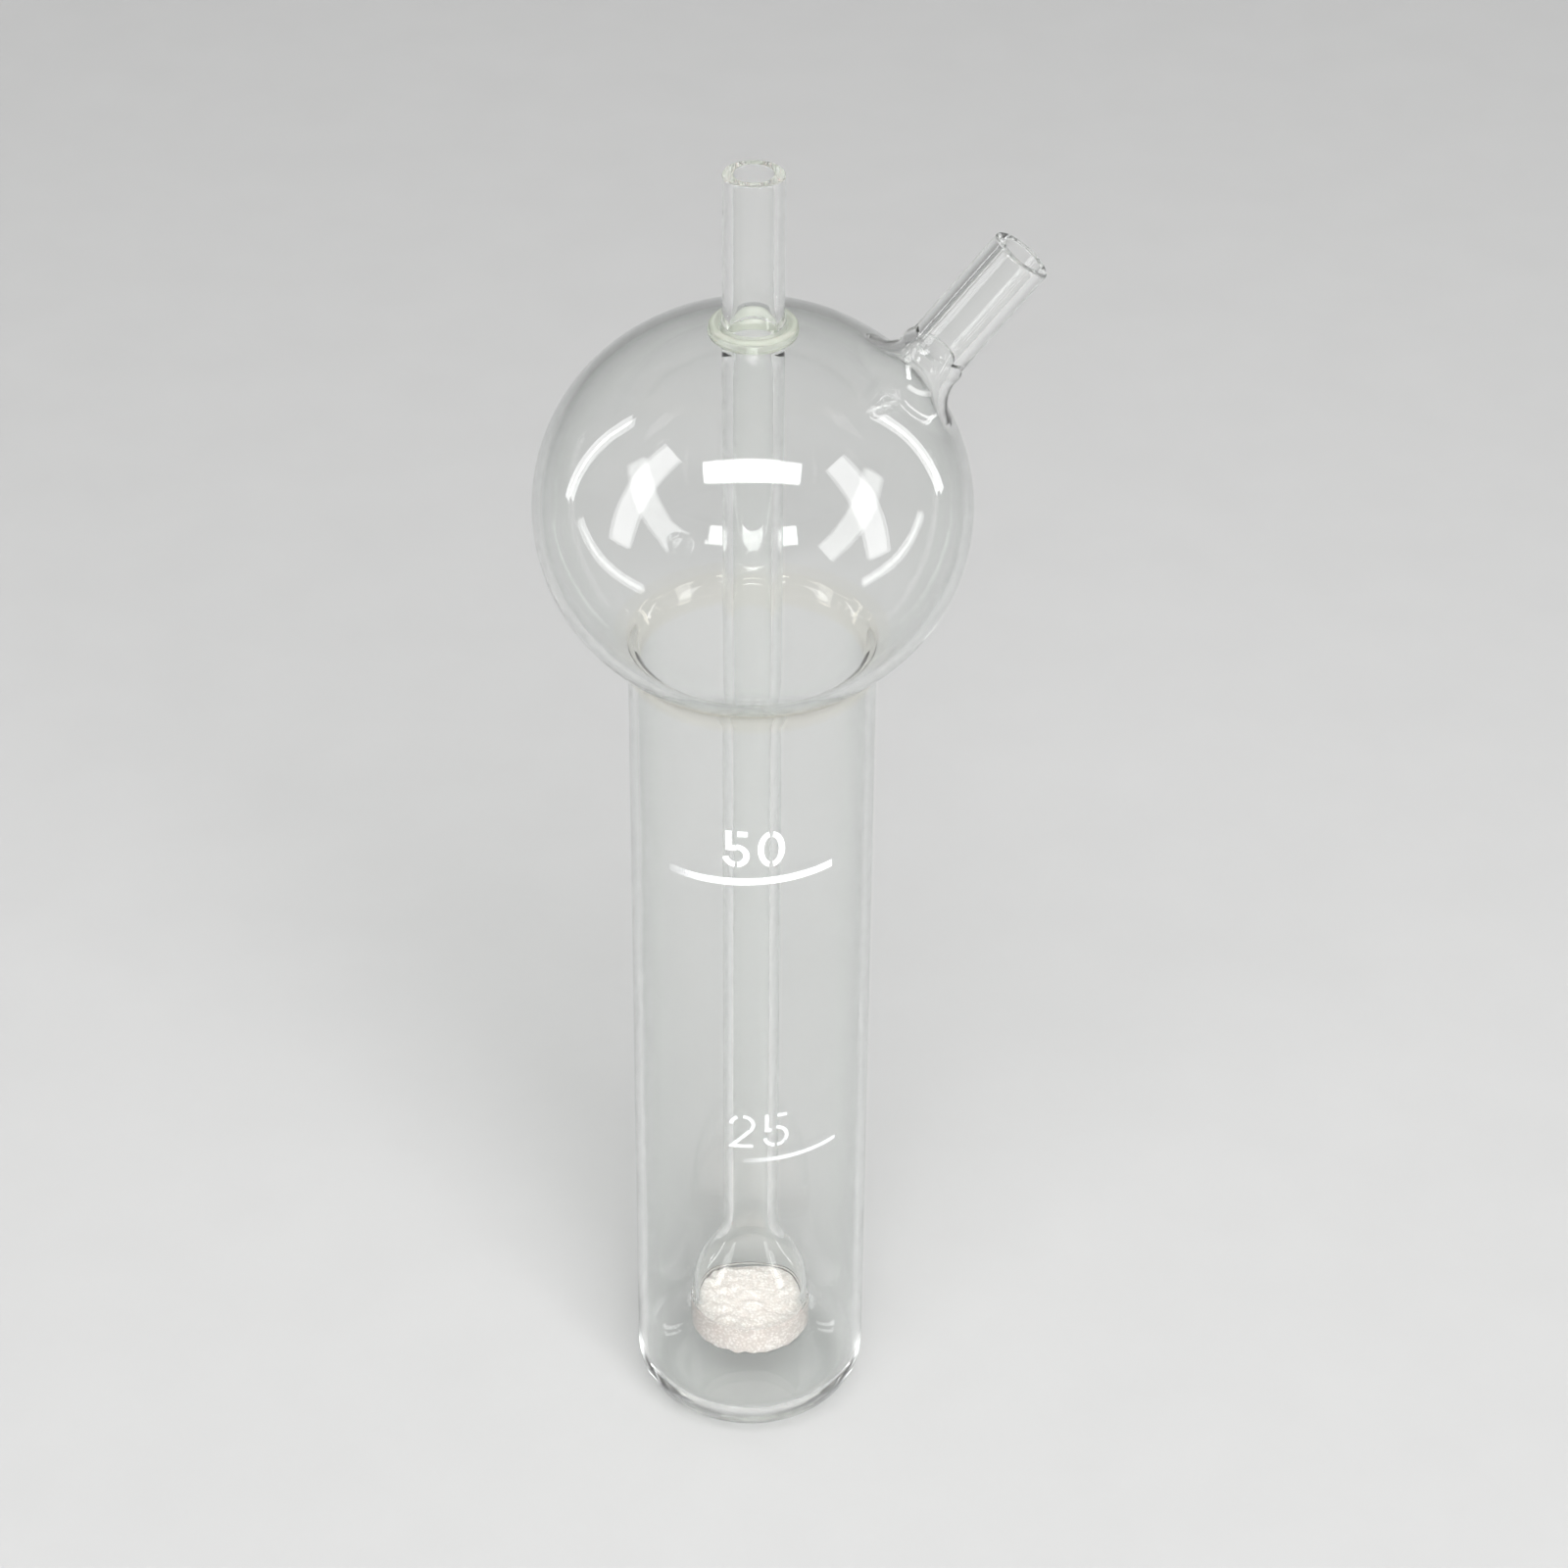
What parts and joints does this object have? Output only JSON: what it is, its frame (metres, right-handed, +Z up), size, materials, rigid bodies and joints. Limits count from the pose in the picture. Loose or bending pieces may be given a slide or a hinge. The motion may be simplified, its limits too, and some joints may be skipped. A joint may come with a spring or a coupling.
{
  "type": "gas washing bottle",
  "caption": "Fused clear glass gas absorption bottle: graduated barrel, blown bulb, inlet with dip tube and sintered disc, and a slanted side outlet.",
  "frame": {"origin": "middle of the base's flat resting face", "axes": "+Z up along the barrel's axis, +X towards the side the outlet tube leans to, -Y towards the graduation marks"},
  "size_m": [0.0594, 0.052, 0.1783],
  "materials": {
    "vessel_glass": "clear, smooth",
    "tube_glass": "clear, smooth",
    "seal_glass": "clear, thick, faintly green",
    "sintered_glass": "white, granular, matt",
    "frosted_etch": "frosted"
  },
  "bodies": {
    "root": {"base": "vessel_glass", "barrel": "vessel_glass", "shoulder_seam": "seal_glass", "bulb": "vessel_glass", "ring_seal": "seal_glass", "inlet_tube": "tube_glass", "dip_tube": "tube_glass", "frit_bell": "tube_glass", "frit_band": "tube_glass", "fritted_disc": "sintered_glass", "outlet_neck": "vessel_glass", "outlet_weld": "seal_glass", "outlet_tube": "tube_glass", "mark_50_line": "frosted_etch", "mark_50_digits": "frosted_etch", "mark_25_line": "frosted_etch", "mark_25_digits": "frosted_etch"}
  },
  "joints": []
}
